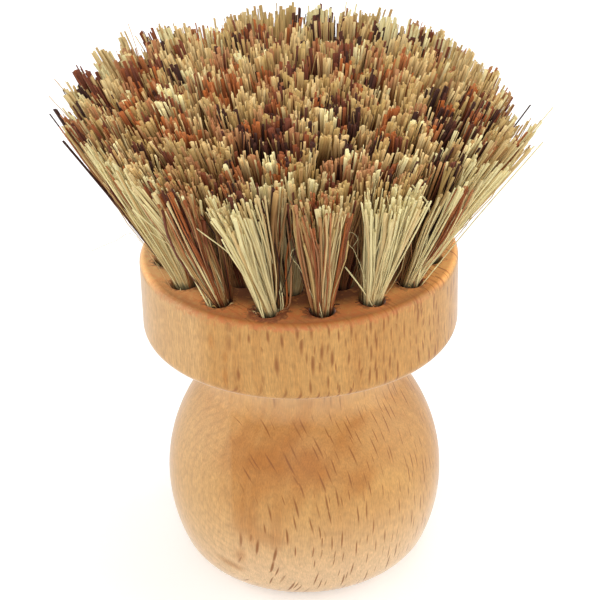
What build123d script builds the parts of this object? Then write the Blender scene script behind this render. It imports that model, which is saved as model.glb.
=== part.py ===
from build123d import *
import math
import os

# A palm brush for pots: a turned beech handle, a flat collar over a ball, with folded tufts
# of stiff plant fibre wired into splayed blind holes in the collar.
# Millimetres. +Z is up, the origin is the centre of the flat that the ball stands on.
# The front of the brush looks along -Y.

# Ball of the handle
ball_radius = 26.8            # at its widest
ball_level = 17.6             # height of the widest line above the standing flat
ball_arc_radius = 32.5        # profile arc, a little larger than the ball, so its sides are full
foot_edge = 8.8               # rounding from the ball to the standing flat

# Groove for the fingers, between ball and collar
neck_radius = 18.0
neck_length = 0.4             # straight stretch at the narrowest place
groove_radius = 7.8           # hollow between ball and neck
underside_land = 3.0          # flat ring left under the collar, outside the hollow

# Collar
collar_radius = 30.0
collar_height = 16.1
collar_top_edge = 1.2
collar_lower_edge = 2.5

# Blind holes for the tufts, drilled square to a shallow dome so that they splay
hole_radius = 2.4
hole_depth = 10.5             # to the shoulder of the drill point
drill_point_angle = 118
rim_width = 5.2               # from the edge of the collar to the centres of the outer holes
splay_angle = 24.5            # lean of the outer tufts; the inner rings lean less

# Rings of tufts, from the centre out: name, number of tufts, turn of the first one in degrees
rings = [
    ("centre_tuft", 1, 0),
    ("inner_tuft", 6, -78),
    ("middle_tuft", 11, -96),
    ("outer_tuft", 16, -81),
]

# Fibres
bristle_height = 29.0         # from the collar to the trimmed face
trim_unevenness = 0.8         # how far single strands end above or below that face
packed_radius = 2.3           # the folded bundle in its hole
packed_rise = 3.0             # how far the fibres stay packed together above the hole
strand_embed = 0.8            # how deep a strand starts inside the packed fibres
fold_gap = 0.15               # left under the fold
strand_root_radius = 1.5      # circle of strand centres at the mouth of the hole
strand_root_width = 0.7
strand_tip_width = 1.9
tuft_gap = 0.3                # least gap between the tips of neighbouring tufts
first_squared_ring = 2        # from this ring out a tuft fills a squarer piece of the trimmed face

# Strands of one tuft, in rings from its middle out: how many, how far out as a share of the
# tuft's half width, and how far each ring is turned as a share of its own step
strand_rings = [4, 7]
strand_ring_shares = [0.46, 1.0]
strand_turn_shares = [0.0, 0.5]
strand_sides = 4
bundle_sides = 7
strand_turn = 137.5           # degrees from one tuft's pattern to the next, so that none repeat
trim_shares = [0.0, 0.7, -0.4, 1.0, -0.8, 0.3, -1.0, 0.5, -0.2, 0.9, -0.6]

# Wire staple across the fold of each tuft, its legs driven into the wood below the hole
wire_width = 0.6
staple_side_gap = 0.1         # from the outside of the legs to the wall of the hole
staple_length = 6.4
fold_thickness = 2.0          # fibres under the crossbar, above the shoulder of the hole
wire_clearance = 0.05

# One overrun for every cutter
overrun = 1.0

# Heights and places that follow from the sizes above
ball_centre_x = ball_radius - ball_arc_radius
foot_x = ball_centre_x + math.sqrt((ball_arc_radius - foot_edge) ** 2 - (ball_level - foot_edge) ** 2)
groove_x = neck_radius + groove_radius
groove_rise = math.sqrt((ball_arc_radius + groove_radius) ** 2 - (groove_x - ball_centre_x) ** 2)
groove_level = ball_level + groove_rise
neck_top = groove_level + neck_length
hollow_radius = collar_radius - collar_lower_edge - underside_land - neck_radius
underside_level = neck_top + hollow_radius
lower_edge_level = underside_level + collar_lower_edge
top_level = underside_level + collar_height
top_edge_level = top_level - collar_top_edge
outer_ring_radius = collar_radius - rim_width
ring_count = len(rings) - 1
drill_point_height = hole_radius / math.tan(math.radians(drill_point_angle / 2))
tip_ring_pitch = (outer_ring_radius + bristle_height * math.tan(math.radians(splay_angle))) / ring_count
tip_spare = strand_tip_width / math.sqrt(2) + tuft_gap / 2
fan_half_width = tip_ring_pitch / 2 - tip_spare
staple_top = fold_thickness - hole_depth


def direction(x, y):
    return math.degrees(math.atan2(y, x))


def arc(centre, radius, start, end):
    """Arc about a centre, from one angle to another in degrees."""
    return CenterArc(centre, radius, start, end - start)


def make_turned_handle():
    """Half outline of ball, groove and collar, turned about the upright axis."""
    foot_angle = direction(foot_x - ball_centre_x, foot_edge - ball_level)
    groove_angle = direction(groove_x - ball_centre_x, groove_rise)
    hollow_x = neck_radius + hollow_radius
    lower_x = collar_radius - collar_lower_edge
    upper_x = collar_radius - collar_top_edge
    outline = [
        Line((0, 0), (foot_x, 0)),
        arc((foot_x, foot_edge), foot_edge, -90, foot_angle),
        arc((ball_centre_x, ball_level), ball_arc_radius, foot_angle, groove_angle),
        arc((groove_x, groove_level), groove_radius, 180 + groove_angle, 180),
        Line((neck_radius, groove_level), (neck_radius, neck_top)),
        arc((hollow_x, neck_top), hollow_radius, 180, 90),
        Line((hollow_x, underside_level), (lower_x, underside_level)),
        arc((lower_x, lower_edge_level), collar_lower_edge, -90, 0),
        Line((collar_radius, lower_edge_level), (collar_radius, top_edge_level)),
        arc((upper_x, top_edge_level), collar_top_edge, 0, 90),
        Line((upper_x, top_level), (0, top_level)),
        Line((0, top_level), (0, 0)),
    ]
    return revolve(Plane.XZ * make_face(outline), Axis.Z)


def ring_place(ring, index):
    """Turn in radians, lean in radians and distance from the axis of one hole."""
    count, first_turn = rings[ring][1:]
    turn = math.radians(first_turn + 360 * index / count)
    share_out = ring / ring_count
    lean = math.atan(share_out * math.tan(math.radians(splay_angle)))
    return turn, lean, outer_ring_radius * share_out


def hole_plane(ring, index):
    """Frame of one hole: its origin at the mouth, Z out along the hole, X away from the axis."""
    turn, lean, radius = ring_place(ring, index)
    out_x, out_y = math.cos(turn), math.sin(turn)
    return Plane(
        origin=(radius * out_x, radius * out_y, top_level),
        x_dir=(math.cos(lean) * out_x, math.cos(lean) * out_y, -math.sin(lean)),
        z_dir=(math.sin(lean) * out_x, math.sin(lean) * out_y, math.cos(lean)),
    )


def make_drill(lean):
    """What the drill takes out: a straight bore with a pointed end, open past the collar's face."""
    mouth = hole_radius * math.tan(lean) + overrun
    half = Polyline(
        (0, mouth), (hole_radius, mouth), (hole_radius, -hole_depth), (0, -hole_depth - drill_point_height),
        close=True,
    )
    return revolve(Plane.XZ * make_face(half), Axis.Z)


def make_staple(clearance):
    """Square wire bent to a U, upside down across the hole; a clearance makes the channel for it."""
    outer = hole_radius - staple_side_gap + clearance
    inner = outer - wire_width - 2 * clearance
    top = staple_top + clearance
    under_bar = top - wire_width - 2 * clearance
    end = staple_top - staple_length - clearance
    bent = Polyline(
        (-outer, end), (-outer, top), (outer, top), (outer, end),
        (inner, end), (inner, under_bar), (-inner, under_bar), (-inner, end),
        close=True,
    )
    return extrude(Plane.YZ * make_face(bent), wire_width / 2 + clearance, both=True)


def polygon_ring(centre, half_x, half_y, level, sides, turn, corner_turn=0.0):
    """Corners of a level polygon about a centre, its X half width lying in the direction of a turn."""
    corners = []
    for i in range(sides):
        step = corner_turn + 2 * math.pi * i / sides
        x, y = half_x * math.cos(step), half_y * math.sin(step)
        across = Vector(x * math.cos(turn) - y * math.sin(turn), x * math.sin(turn) + y * math.cos(turn))
        corners.append(centre + across + Vector(0, 0, level))
    return corners


def faceted_solid(sections):
    """Solid with flat sides through polygons of equal numbers of corners."""
    faces = [Face(Wire.make_polygon(sections[0])), Face(Wire.make_polygon(sections[-1]))]
    for lower, upper in zip(sections, sections[1:]):
        for i in range(len(lower)):
            j = (i + 1) % len(lower)
            faces.append(Face(Wire.make_polygon([lower[i], lower[j], upper[j], upper[i]])))
    return Solid(Shell(faces))


def tip_place(ring, turn, x, y):
    """Place of a strand's tip, from its shares of the tuft's half widths outwards and round the ring.

    Each tuft keeps inside its own part of the trimmed face, clear of its neighbours: a disc for the
    centre and inner tufts, and a squarer piece of the ring for those further out.
    """
    out, along = Vector(math.cos(turn), math.sin(turn)), Vector(-math.sin(turn), math.cos(turn))
    middle = ring * tip_ring_pitch
    if ring < first_squared_ring:
        return out * (middle + fan_half_width * x) + along * (fan_half_width * y)
    squarer = (x ** 4 + y ** 4) ** 0.25 / math.hypot(x, y)
    reach = middle + fan_half_width * x / squarer
    half_angle = math.pi / rings[ring][1] - math.asin(tip_spare / reach)
    angle = turn + half_angle * y / squarer
    return Vector(reach * math.cos(angle), reach * math.sin(angle))


def width_at(rise):
    """Width of a strand at a height above the collar."""
    return strand_root_width + (strand_tip_width - strand_root_width) * rise / bristle_height


def strand_lines(ring, index, order):
    """Each strand of one tuft: its place at the mouth of the hole, its place in the trimmed face,
    the turn of its corners and how far it ends above that face."""
    turn, _, radius = ring_place(ring, index)
    out, along = Vector(math.cos(turn), math.sin(turn)), Vector(-math.sin(turn), math.cos(turn))
    pattern_turn = math.radians(strand_turn * order)
    lines = []
    for count, share, turn_share in zip(strand_rings, strand_ring_shares, strand_turn_shares):
        for i in range(count):
            step = pattern_turn + 2 * math.pi * (i + turn_share) / count
            x, y = share * math.cos(step), share * math.sin(step)
            root = out * (radius + strand_root_radius * x) + along * (strand_root_radius * y)
            trim_share = trim_shares[(order * sum(strand_rings) + len(lines)) % len(trim_shares)]
            corner_turn = step + math.pi / strand_sides
            lines.append((root, tip_place(ring, turn, x, y), corner_turn, trim_unevenness * trim_share))
    return lines


def make_strand(line, turn):
    """One strand, straight from inside the packed fibres to the trimmed face, and thicker towards it."""
    root, tip, corner_turn, trim = line
    sections = []
    for rise in (packed_rise - strand_embed, bristle_height + trim):
        centre = root + (tip - root) * (rise / bristle_height)
        half = width_at(rise) / math.sqrt(2)
        sections.append(polygon_ring(centre, half, half, top_level + rise, strand_sides, turn, corner_turn))
    return faceted_solid(sections)


def make_bundle(ring, index, lines):
    """The packed fibres: folded in the hole, and spreading above it until they hold every strand."""
    turn, lean, radius = ring_place(ring, index)
    out = Vector(math.cos(turn), math.sin(turn))
    bottom = packed_radius * math.sin(lean) + (fold_gap - hole_depth) * math.cos(lean)
    middle = out * (radius + packed_rise * math.tan(lean))
    rise_share = packed_rise / bristle_height
    reach = max((root + (tip - root) * rise_share - middle).length for root, tip, *_ in lines)
    wide = (reach + width_at(packed_rise) / math.sqrt(2)) / math.cos(math.pi / bundle_sides)
    sections = []
    for size, level in ((packed_radius, bottom), (packed_radius, 0), (wide, packed_rise)):
        centre = out * (radius + level * math.tan(lean))
        long = size / math.cos(lean)
        sections.append(polygon_ring(centre, long, size, top_level + level, bundle_sides, turn))
    return faceted_solid(sections)


def make_tuft(ring, index, order):
    """One tuft: the packed fibres with their strands fused on and the staple's channel cut out."""
    lines = strand_lines(ring, index, order)
    turn = ring_place(ring, index)[0]
    strands = [make_strand(line, turn) for line in lines]
    channel = hole_plane(ring, index).location * make_staple(wire_clearance)
    return make_bundle(ring, index, lines).fuse(*strands).cut(channel)


def tuft_name(ring, index):
    name, count = rings[ring][:2]
    return name if count == 1 else f"{name}_{index + 1:02d}"


places = [(ring, index) for ring in range(len(rings)) for index in range(rings[ring][1])]

cutters = []
staples = []
for ring, index in places:
    place = hole_plane(ring, index).location
    cutters.append(place * make_drill(ring_place(ring, index)[1]))
    cutters.append(place * make_staple(wire_clearance))
    staples.append(place * make_staple(0))

os.makedirs("parts", exist_ok=True)
export_step(make_turned_handle().cut(*cutters), "parts/handle.step")
export_step(Compound([solid for staple in staples for solid in staple.solids()]), "parts/tuft_staples.step")
for order, (ring, index) in enumerate(places):
    export_step(make_tuft(ring, index, order), f"parts/{tuft_name(ring, index)}.step")

print("handle height", round(top_level, 2), "neck", round(neck_radius, 2), "hollow", round(hollow_radius, 2))
print("strands", len(places) * sum(strand_rings))
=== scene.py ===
import functools
import math

import bpy
import numpy as np
from mathutils import Matrix, Vector


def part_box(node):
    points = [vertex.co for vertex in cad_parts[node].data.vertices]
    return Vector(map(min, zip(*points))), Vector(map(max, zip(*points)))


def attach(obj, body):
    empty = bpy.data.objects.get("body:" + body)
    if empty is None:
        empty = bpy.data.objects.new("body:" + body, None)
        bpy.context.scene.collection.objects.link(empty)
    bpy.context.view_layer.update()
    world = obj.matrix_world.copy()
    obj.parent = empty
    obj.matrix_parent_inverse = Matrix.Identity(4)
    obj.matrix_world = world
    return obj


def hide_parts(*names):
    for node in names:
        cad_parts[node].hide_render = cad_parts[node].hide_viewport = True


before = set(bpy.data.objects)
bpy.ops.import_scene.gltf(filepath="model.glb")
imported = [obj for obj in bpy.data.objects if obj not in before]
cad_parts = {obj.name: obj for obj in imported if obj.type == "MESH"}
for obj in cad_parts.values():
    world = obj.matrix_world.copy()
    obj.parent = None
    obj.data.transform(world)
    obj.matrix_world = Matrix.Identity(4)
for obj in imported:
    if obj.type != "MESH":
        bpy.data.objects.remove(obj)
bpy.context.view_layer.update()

bl_info = {
    "name": "Palm brush",
    "version": (1, 0, 0),
    "blender": (4, 5, 0),
    "location": "3D Viewport > Sidebar > Palm brush",
    "description": "Beech, folded plant fibre and wire for a palm brush, and a plain pale stage",
    "category": "Object",
}

MM = 0.001
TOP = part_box("handle")[1].z

# Rings of holes, from the centre out: name, number of tufts, turn of the first one in degrees
RINGS = [
    ("centre_tuft", 1, 0),
    ("inner_tuft", 6, -78),
    ("middle_tuft", 11, -96),
    ("outer_tuft", 16, -81),
]
OUTER_RING = 3
OUTER_HOLES_RADIUS = 24.8 * MM
SPLAY = math.radians(24.5)
HOLE_RADIUS = 2.4 * MM
BAR_DEPTH = 8.3 * MM          # where the fibres reach the staple's crossbar
FOLD_DEPTH = 9.3 * MM         # under the bar
FOLD_ROUND = 0.72             # half-way point of the round fold, as a share of its width and depth
GOLDEN_ANGLE = math.pi * (3 - math.sqrt(5))

# Wood, in millimetres: turn of the rays round the upright axis, spacing of the faint arcs, the cell that
# holds one ray fleck, and half sizes of a fleck across the rays, along them and up the stem
RAY_TURN = math.radians(-40)
ARC_SPACING = 1.6
FLECK_CELL = (1.6, 6.0, 4.6)
BALL_FLECK = (0.135, 4.0, 1.75)
COLLAR_FLECK = (0.17, 4.0, 1.25)

# Warm patches in the wood, in millimetres from the foot's centre: middle, half widths, strength
STAINS = [
    ((0, -22, 33.5), (20, 16, 10.5), 0.9),
    ((-9, -20, 25), (10, 16, 15), 0.6),
    ((-12, -15, 43.5), (3.2, 6, 2.4), 0.8),
    ((-14.8, -20, 8.8), (3.8, 6, 1.8), 0.7),
    ((-12.6, -22, 12.5), (1.8, 6, 2.2), 0.4),
    ((-16.2, -25, 60.5), (0.9, 8, 2.2), 0.6),
    ((-14, -26, 58), (0.8, 8, 1.8), 0.5),
    ((-14, -26, 53.5), (0.9, 8, 3.6), 0.7),
    ((-18, -22, 51.5), (1.1, 8, 1.6), 0.5),
]

# Fibre kinds, along the tone that each fibre carries from 0 to 1
KINDS = ["pale", "straw", "khaki", "tan", "rust", "chestnut", "dark"]
COMMON_MIX = [0.05, 0.29, 0.25, 0.11, 0.07, 0.10, 0.13]
OUTSIDE_MIX = [0.34, 0.36, 0.08, 0.10, 0.04, 0.05, 0.03]

# Tufts of the next ring that show in the gaps between the front ones: their mix, and how strongly each one gets
# the painted shade inside the tufts
HOLLOW_MIX = [0.06, 0.14, 0.08, 0.30, 0.22, 0.16, 0.04]
HOLLOW_SHADE = {0: 0.35, 1: 0.7, 10: 0.25}

# Outer side of the tufts at the back
BACK_MIX = [0.16, 0.42, 0.20, 0.08, 0.05, 0.05, 0.04]
BACK_TUFTS = range(5, 12)

# Outer tufts that the front view shows from hole to tip: the mix of kinds on their outer side
FRONT_MIXES = {
    12: [0.20, 0.20, 0.05, 0.12, 0.08, 0.20, 0.15],
    13: [0.84, 0.14, 0.00, 0.02, 0.00, 0.00, 0.00],
    14: [0.16, 0.16, 0.06, 0.28, 0.04, 0.20, 0.10],
    15: [0.78, 0.14, 0.02, 0.04, 0.02, 0.00, 0.00],
    0: [0.24, 0.22, 0.14, 0.22, 0.16, 0.02, 0.00],
    1: [0.90, 0.08, 0.00, 0.02, 0.00, 0.00, 0.00],
    2: [0.54, 0.22, 0.05, 0.08, 0.06, 0.04, 0.01],
    3: [0.36, 0.28, 0.10, 0.12, 0.05, 0.06, 0.03],
}

# Patches of like kinds in a tuft, and the share of bundles that keep to them, in the outer ring and in the others
KIND_PATCHES = 9
OUTER_ALIKE = 0.35
INNER_ALIKE = 0.58

# Fibres of the outer tufts that are seen whole, and of all others: width as a share of the tip width, shares of
# broad blades, hairs, odd colours and short fibres, how far a tone strays from its kind, and in root widths the
# room they leave in the hole and how far they keep to its inner side
SEEN_WHOLE = {"width": 0.8, "blades": 0.02, "hairs": 0.14, "odd": 0.3, "short": 0.25, "stray": 0.8,
              "spare": 2, "inset": 1.5}
SEEN_FROM_ABOVE = {"width": 1, "blades": 0.04, "hairs": 0.12, "odd": 0.15, "short": 0.08, "stray": 0.45,
                   "spare": 0.75, "inset": 0}
LEAFY_TUFT = 13               # this outer tuft has more broad blades
LEAFY_BLADES = 0.2


def linear(hex_colour):
    """Linear red, green, blue and alpha of an sRGB hex colour."""
    values = [int(hex_colour[i:i + 2], 16) / 255 for i in (0, 2, 4)]
    return (*(v / 12.92 if v <= 0.04045 else ((v + 0.055) / 1.055) ** 2.4 for v in values), 1.0)


def colour(name, description, hex_colour):
    return bpy.props.FloatVectorProperty(
        name=name, description=description, default=linear(hex_colour), subtype="COLOR", size=4, min=0, max=1)


def length(name, description, default):
    return bpy.props.FloatProperty(
        name=name, description=description, default=default, subtype="DISTANCE", unit="LENGTH", precision=4)


def angle(name, description, degrees):
    return bpy.props.FloatProperty(
        name=name, description=description, default=math.radians(degrees), subtype="ANGLE", unit="ROTATION")


def plain(name, description, default):
    return bpy.props.FloatProperty(name=name, description=description, default=default, min=0)


class WoodSettings(bpy.types.PropertyGroup):
    """Colours of the turned beech."""

    light: colour("Light wood", "Beech in the paler growth bands", "C39250")
    warm: colour("Warm wood", "Beech in the darker growth bands", "B5803F")
    # Foot: colour of the painted light from below, towards the foot and in the hollow under the collar
    foot: colour("Foot", "The paler wood towards the foot", "E8CBA4")
    pale_edge: colour("Pale edge", "The paler wood along one side of the blank", "CDA672")
    stain: colour("Stain", "Warm patches on the ball", "A4641A")
    end_grain: colour("End grain", "The drilled face, which takes up more oil", "C07038")
    fleck: colour("Ray fleck", "Short dark dashes of the rays", "844A0E")
    # Colour of the rim ripped up round the holes, also used for the painted shade between the tufts
    torn_rim_and_shade: colour("Torn rim", "Fibres torn up round the drilled holes", "7A3414")
    roughness: plain("Roughness", "Sanded and lightly waxed wood", 0.55)


class FibreSettings(bpy.types.PropertyGroup):
    """Sizes and colours of the plant fibre."""

    folded: bpy.props.IntProperty(
        name="Fibres in a tuft", description="How many fibres are folded over each staple", default=160, min=8)
    tip_width: length("Width at the tip", "Mean width of a fibre where it is cut", 0.52 * MM)
    root_width: length("Width at the fold", "Width of a fibre pressed into its hole", 0.28 * MM)
    height: length("Trimmed height", "From the collar to the trimmed face over the centre", 29 * MM)
    unevenness: length("Unevenness", "How far fibre ends stray from the trimmed face", 0.75 * MM)
    tilt: angle("Tilt of the trimmed face", "How much the trimmed face rises to the back", 2.6)
    bow: length("Bow", "How far a fibre curves out of its straight line", 0.45 * MM)
    pale: colour("Pale fibre", "Nearly white outer skin of the stalk", "E8DAA2")
    straw: colour("Straw fibre", "Clean yellow straw", "D6B57C")
    khaki: colour("Khaki fibre", "Greener straw", "B8995C")
    tan: colour("Tan fibre", "Pinkish tan stalk", "B48056")
    rust: colour("Rust fibre", "Orange brown leaf base", "A95E2A")
    chestnut: colour("Chestnut fibre", "Red brown leaf base", "733C26")
    dark: colour("Dark fibre", "Nearly black brown leaf base", "3A1D12")
    # Painted shade inside the tufts, just under the cut ends and again lower down
    inside_shade: colour("Dye", "Multiplies the fibres inside a tuft, just under their cut ends", "BBA08C")
    deep_shade: colour("Deep dye", "Multiplies them again lower down", "BBAAA0")
    roughness: plain("Roughness", "Dry matt fibre", 0.7)


class WireSettings(bpy.types.PropertyGroup):
    """Finish of the staple wire."""

    steel: colour("Steel", "Bright drawn steel", "C4C2BC")
    roughness: plain("Roughness", "Lines left by the drawing die", 0.3)


class StageSettings(bpy.types.PropertyGroup):
    """Camera, lamps and floor."""

    camera_distance: length(
        "Camera distance", "From the camera to the upright axis, along the floor", 360.695 * MM)
    camera_height: length("Camera height", "Above the floor", 253.017 * MM)
    pitch: angle("Pitch", "How far the camera looks down", 28.8222)
    roll: angle("Roll", "How far the picture is turned", -1.5569)
    focal_length: bpy.props.FloatProperty(
        name="Focal length", description="On a 36 mm sensor", default=129.542, unit="CAMERA")
    floor: colour("Floor", "Pale floor", "F6F6F6")
    daylight: plain("Daylight", "Even light from all round", 0.45)
    side_lamps: plain("Side lamps", "Watts of the large lamp on the right; the left one is a little weaker", 2.08)
    top_lamp: plain("Top lamp", "Watts of the lamp above", 1.3)
    low_lamps: plain("Low lamps", "Watts of each of the two lamps near the floor", 0.25)
    front_lamp: plain("Front lamp", "Watts of the lamp over the camera", 1.1)


def add_node(tree, kind, inputs=None, output=None, ramp=None, **settings):
    """Adds one node with its settings, its values or links by socket, and the stops of its ramp. Gives
    back the output named, or else the first in use, whose own node leads to the others."""
    node = tree.nodes.new("ShaderNode" + kind)
    for name, value in settings.items():
        setattr(node, name, value)
    for socket, value in (inputs or {}).items():
        if isinstance(value, bpy.types.NodeSocket):
            tree.links.new(value, node.inputs[socket])
        else:
            node.inputs[socket].default_value = value
    for i, (place, shade) in enumerate(ramp or []):
        stops = node.color_ramp.elements
        stop = stops[i] if i < 2 else stops.new(place)
        stop.position = place
        stop.color = shade
    if output:
        return node.outputs[output]
    return next((socket for socket in node.outputs if socket.enabled), None)


def new_material(name):
    """An empty node material and the function that adds nodes to it."""
    material = bpy.data.materials.new(name)
    material.use_nodes = True
    material.node_tree.nodes.clear()
    return material, functools.partial(add_node, material.node_tree)


def turned_beech(settings):
    """Beech, turned, sanded and waxed: a close pinkish tan wood with a soft satin gleam, faint
    growth bands, and the rays cut across as short dark dashes on the side that faces them."""
    material, node = new_material("turned_waxed_beech")
    in_mm = node("TexCoord", output="Object")
    in_mm = node("VectorMath", {0: in_mm, 1: (1000, 1000, 1000)}, operation="MULTIPLY")
    x, _, z = node("SeparateXYZ", {0: in_mm}).node.outputs
    # The grain wanders by about a millimetre over the length of the brush.
    wander = node("TexNoise", {"Vector": in_mm, "Scale": 0.055}).node.outputs
    grain = node("VectorMath", {0: wander["Color"], 1: (2.6, 2.6, 1.0), 2: in_mm}, operation="MULTIPLY_ADD")
    # Wood's own directions: X across the rays, Y along them, Z up the stem.
    wood = node("Mapping", {"Vector": grain, "Rotation": (0, 0, RAY_TURN)})
    # From 0 on the ball to 1 on the collar
    collar = node("MapRange", {"Value": z, "From Min": 47, "From Max": 50})

    shade = growth_bands(node, wood, settings)
    # Painted light from below: the wood is painted paler towards the foot.
    foot = node("MapRange", {"Value": z, "From Min": 27, "From Max": 0, "To Max": 0.8},
                interpolation_type="SMOOTHSTEP")
    shade = node("Mix", {0: foot, 6: shade, 7: settings.foot}, data_type="RGBA")
    shade = warm_patches(node, shade, in_mm, settings)
    shade = pale_left_edge(node, shade, grain, wander[0], x, collar, settings)

    # Pores and fine grain: streaks 0.3 mm wide and 3 mm long, over soft mottling 1 mm across.
    streaks = node("Mapping", {"Vector": wood, "Scale": (4.5, 4.5, 0.5)})
    streaks = node("TexNoise", {"Vector": streaks, "Scale": 1, "Detail": 3, "Roughness": 0.6})
    darkest = node("MapRange", {"Value": collar, "To Min": 0.84, "To Max": 0.74})
    tone = node("MapRange", {"Value": streaks, "From Min": 0.3, "From Max": 0.7, "To Min": darkest,
                             "To Max": 1.16})
    shade = node("VectorMath", {0: shade, "Scale": tone}, operation="SCALE")
    mottle = node("TexNoise", {"Vector": in_mm, "Scale": 0.9})
    tone = node("MapRange", {"Value": mottle, "From Min": 0.3, "From Max": 0.7, "To Min": 0.92, "To Max": 1.08})
    shade = node("VectorMath", {0: shade, "Scale": tone}, operation="SCALE")

    shade, fleck = ray_flecks(node, shade, wood, x, collar, settings)
    # Painted highlight on the collar's lower corner, and painted light under it
    shade = round_the_neck(node, shade, in_mm, z, settings)
    shade = drilled_face(node, shade, in_mm, mottle, settings)

    height = node("Math", {0: fleck, 1: -0.6, 2: streaks}, operation="MULTIPLY_ADD")
    bump = node("Bump", {"Height": height, "Strength": 0.25, "Distance": 0.05 * MM})
    gloss = node("MapRange", {"Value": streaks, "To Min": settings.roughness + 0.06,
                              "To Max": settings.roughness - 0.06})
    surface = node("BsdfPrincipled", {"Base Color": shade, "Roughness": gloss, "Normal": bump, "IOR": 1.48,
                                      "Sheen Weight": 0.6, "Sheen Roughness": 0.3})
    node("OutputMaterial", {"Surface": surface})
    return material


def growth_bands(node, wood, settings):
    """Growth bands, 1.5 to 3 mm apart, about a pith 80 mm away."""
    from_pith = node("VectorMath", {0: wood, 1: (1, 1, 0.02), 2: (0, 80, 0)}, operation="MULTIPLY_ADD")
    ring = node("VectorMath", {0: from_pith}, operation="LENGTH")
    band = node("TexNoise", {"W": ring, "Scale": 0.5, "Roughness": 0.6}, noise_dimensions="1D")
    cloud = node("Mapping", {"Vector": wood, "Scale": (0.09, 0.09, 0.035)})
    cloud = node("TexNoise", {"Vector": cloud, "Scale": 1, "Detail": 3})
    cloud = node("Math", {0: cloud, 1: 0.6}, operation="MULTIPLY")
    mixed = node("Math", {0: band, 1: 0.55, 2: cloud}, operation="MULTIPLY_ADD")
    return node("ValToRGB", {"Fac": mixed}, ramp=[(0.38, settings.warm), (0.74, settings.light)])


def warm_patches(node, shade, in_mm, settings):
    """Warm patches with a wavering outline."""
    waver = node("TexNoise", {"Vector": in_mm, "Scale": 0.12, "Detail": 1}, output="Color")
    waver = node("VectorMath", {0: waver, 1: (0.5, 0.5, 0.5)}, operation="SUBTRACT")
    for middle, half, strength in STAINS:
        place = node("VectorMath", {0: waver, 1: Vector(half) * 1.7, 2: in_mm}, operation="MULTIPLY_ADD")
        away = node("VectorMath", {0: place, 1: middle}, operation="SUBTRACT")
        shares = node("VectorMath", {0: away, 1: half}, operation="DIVIDE")
        far = node("VectorMath", {0: shares}, operation="LENGTH")
        inside = node("MapRange", {"Value": far, "From Min": 1.05, "From Max": 0.1, "To Max": strength},
                      interpolation_type="SMOOTHSTEP")
        shade = node("Mix", {0: inside, 6: shade, 7: settings.stain}, data_type="RGBA")
    return shade


def pale_left_edge(node, shade, grain, wander, x, collar, settings):
    """A paler edge of the blank, from 13.8 mm left of the axis. On the ball its year rings are faint arcs."""
    away = node("VectorMath", {0: grain, 1: (-11, -22, 27)}, operation="SUBTRACT")
    far = node("VectorMath", {0: away}, operation="LENGTH")
    far = node("Math", {0: wander, 1: 9.0, 2: far}, operation="MULTIPLY_ADD")
    arcs = node("Math", {0: far, 1: 2 * math.pi / ARC_SPACING}, operation="MULTIPLY")
    arcs = node("Math", {0: arcs}, operation="SINE")
    line = node("MapRange", {"Value": arcs, "From Min": 0.3, "To Min": 1.0, "To Max": 0.92})
    on_ball = node("MapRange", {"Value": x, "From Min": -13.4, "From Max": -14.2})
    on_collar = node("MapRange", {"Value": x, "From Min": -15.5, "From Max": -20},
                     interpolation_type="SMOOTHSTEP")
    pale = node("Mix", {0: collar, 2: on_ball, 3: on_collar})
    pale = node("Math", {0: pale, 1: 0.56}, operation="MULTIPLY")
    fuller = node("MapRange", {"Value": x, "From Min": -15, "From Max": -22, "To Min": 0.42})
    fuller = node("Math", {0: fuller, 1: collar}, operation="MAXIMUM")
    pale = node("Math", {0: pale, 1: fuller}, operation="MULTIPLY")
    shade = node("Mix", {0: pale, 6: shade, 7: settings.pale_edge}, data_type="RGBA")
    lined = node("Math", {0: on_ball, 1: collar}, operation="SUBTRACT", use_clamp=True)
    line = node("Math", {0: line, 1: lined}, operation="POWER")
    return node("VectorMath", {0: shade, "Scale": line}, operation="SCALE")


def ray_flecks(node, shade, wood, x, collar, settings):
    """Ray flecks: thin sheets that stand in the wood, and show as dashes where the surface cuts across
    them. They fade out on the pale left edge."""
    spaced = node("VectorMath", {0: wood, 1: FLECK_CELL}, operation="DIVIDE")
    seeds = node("TexVoronoi", {"Vector": spaced, "Scale": 1}).node.outputs
    away = node("VectorMath", {0: spaced, 1: seeds["Position"]}, operation="SUBTRACT")
    forms = [[cell / half for cell, half in zip(FLECK_CELL, halves)] for halves in (BALL_FLECK, COLLAR_FLECK)]
    form = node("Mix", {0: collar, 4: forms[0], 5: forms[1]}, data_type="VECTOR")
    away = node("VectorMath", {0: away, 1: form}, operation="MULTIPLY")
    far = node("VectorMath", {0: away}, operation="LENGTH")
    chance = node("SeparateXYZ", {0: seeds["Color"]})
    reach = node("MapRange", {"Value": chance, "To Min": 0.6, "To Max": 1.4})
    near = node("Math", {0: far, 1: reach}, operation="DIVIDE")
    bold = node("MapRange", {"Value": collar, "To Min": 1.1, "To Max": 1.6})
    fleck = node("MapRange", {"Value": near, "From Min": bold, "From Max": 0.5})
    side = node("MapRange", {"Value": x, "From Min": -14.2, "From Max": -12, "To Min": 0.08, "To Max": 0.88})
    fleck = node("Math", {0: fleck, 1: side}, operation="MULTIPLY")
    return node("Mix", {0: fleck, 6: shade, 7: settings.fleck}, data_type="RGBA"), fleck


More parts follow.
